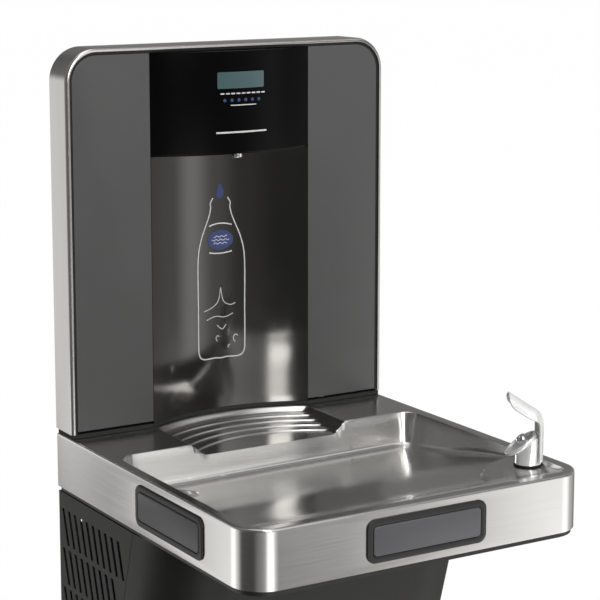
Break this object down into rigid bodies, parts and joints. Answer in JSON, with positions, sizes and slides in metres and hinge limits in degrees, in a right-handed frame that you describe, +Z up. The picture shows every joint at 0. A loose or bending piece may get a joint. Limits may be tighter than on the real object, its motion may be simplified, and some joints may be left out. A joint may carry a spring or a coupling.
{
  "type": "wall-mounted drinking fountain with bottle filler",
  "caption": "Wall-mounted refrigerated drinking fountain: stainless basin with bubbler and push bars, a bottle-filling tower behind it and a louvred cabinet below.",
  "frame": {"origin": "on the wall, middle of the cabinet back, 250 mm below the basin rim", "axes": "+X right of a person facing the fountain, +Y into the wall, +Z up"},
  "size_m": [0.473, 0.493, 1.003],
  "materials": {
    "brushed_stainless": "fine horizontal brushing",
    "chrome_plate": "bright plated",
    "galvanised_steel": "matt galvanised",
    "condenser_metal": "raw fins",
    "brass_metal": "machined",
    "panel_grey": "satin",
    "cabinet_grey": "fine satin texture",
    "smoked_gloss": "smoked, glossy",
    "black_gloss": "high gloss",
    "display_glass": "tinted",
    "circuit_board": "solder mask",
    "black_plastic": "satin black",
    "black_rubber": "matt",
    "pad_grey": "fine grain",
    "compressor_black": "semi-gloss",
    "tank_foam": "insulating foam",
    "white_plastic": "moulded"
  },
  "bodies": {
    "body": {"tower_band": "brushed_stainless", "basin_top": "brushed_stainless", "drain_strainer": "brushed_stainless", "fill_nozzle": "chrome_plate", "drain_body": "chrome_plate", "waste_pipe": "chrome_plate", "bubbler_body": "chrome_plate", "bubbler_nozzle": "chrome_plate", "mouth_guard": "chrome_plate", "tower_back_plate": "galvanised_steel", "cabinet_back": "galvanised_steel", "cabinet_base": "galvanised_steel", "hanger_bracket": "galvanised_steel", "front_bar_bracket": "galvanised_steel", "left_bar_bracket": "galvanised_steel", "right_bar_bracket": "galvanised_steel", "front_bar_spring": "galvanised_steel", "left_bar_spring": "galvanised_steel", "right_bar_spring": "galvanised_steel", "fan_motor": "galvanised_steel", "control_box": "galvanised_steel", "condenser": "condenser_metal", "bubbler_locknut": "brass_metal", "water_inlet": "brass_metal", "front_panel_left": "panel_grey", "front_panel_right": "panel_grey", "cabinet_front": "cabinet_grey", "side_panel_left": "cabinet_grey", "side_panel_right": "cabinet_grey", "alcove_liner": "smoked_gloss", "head_cover": "black_gloss", "display_window": "display_glass", "display_board": "circuit_board", "tower_trim": "black_plastic", "bottle_sensor": "black_plastic", "basin_underpan": "black_plastic", "front_bar_bezel": "black_plastic", "left_bar_bezel": "black_plastic", "right_bar_bezel": "black_plastic", "front_bar_switch": "black_plastic", "left_bar_switch": "black_plastic", "right_bar_switch": "black_plastic", "fan_shroud": "black_plastic", "filter_head": "black_plastic", "power_inlet": "black_plastic", "tower_gasket": "black_rubber", "bubbler_gasket": "black_rubber", "compressor": "compressor_black", "cooling_tank": "tank_foam", "fill_line": "white_plastic", "fill_supply_line": "white_plastic", "fill_valve": "white_plastic", "bubbler_line": "white_plastic", "bubbler_valve": "white_plastic"},
    "front_bar": {"front_bar_pad": "pad_grey"},
    "left_bar": {"left_bar_pad": "pad_grey"},
    "right_bar": {"right_bar_pad": "pad_grey"},
    "fan": {"condenser_fan": "white_plastic"},
    "filter": {"filter_cartridge": "white_plastic"},
    "knob": {"temperature_knob": "black_plastic"}
  },
  "joints": [
    {"name": "front_bar_press", "type": "slide", "parent": "body", "child": "front_bar", "axis": [0, 1, 0], "range_m": [0, 0.004], "stiffness_N_per_m": 1000, "springref_m": -0.003, "deforming": ["front_bar_spring"]},
    {"name": "left_bar_press", "type": "slide", "parent": "body", "child": "left_bar", "axis": [1, 0, 0], "range_m": [0, 0.004], "stiffness_N_per_m": 1000, "springref_m": -0.003, "deforming": ["left_bar_spring"]},
    {"name": "right_bar_press", "type": "slide", "parent": "body", "child": "right_bar", "axis": [-1, 0, 0], "range_m": [0, 0.004], "stiffness_N_per_m": 1000, "springref_m": -0.003, "deforming": ["right_bar_spring"]},
    {"name": "fan_spin", "type": "hinge", "parent": "body", "child": "fan", "pos_m": [0.172, -0.105, 0.035], "axis": [1, 0, 0], "continuous": true},
    {"name": "filter_twist", "type": "hinge", "parent": "body", "child": "filter", "pos_m": [0.118, -0.165, -0.13], "axis": [0, 0, 1], "range_deg": [0, 90]},
    {"name": "temperature_turn", "type": "hinge", "parent": "body", "child": "knob", "pos_m": [-0.02, -0.23, 0.1], "axis": [0, 1, 0], "range_deg": [-135, 135]}
  ]
}
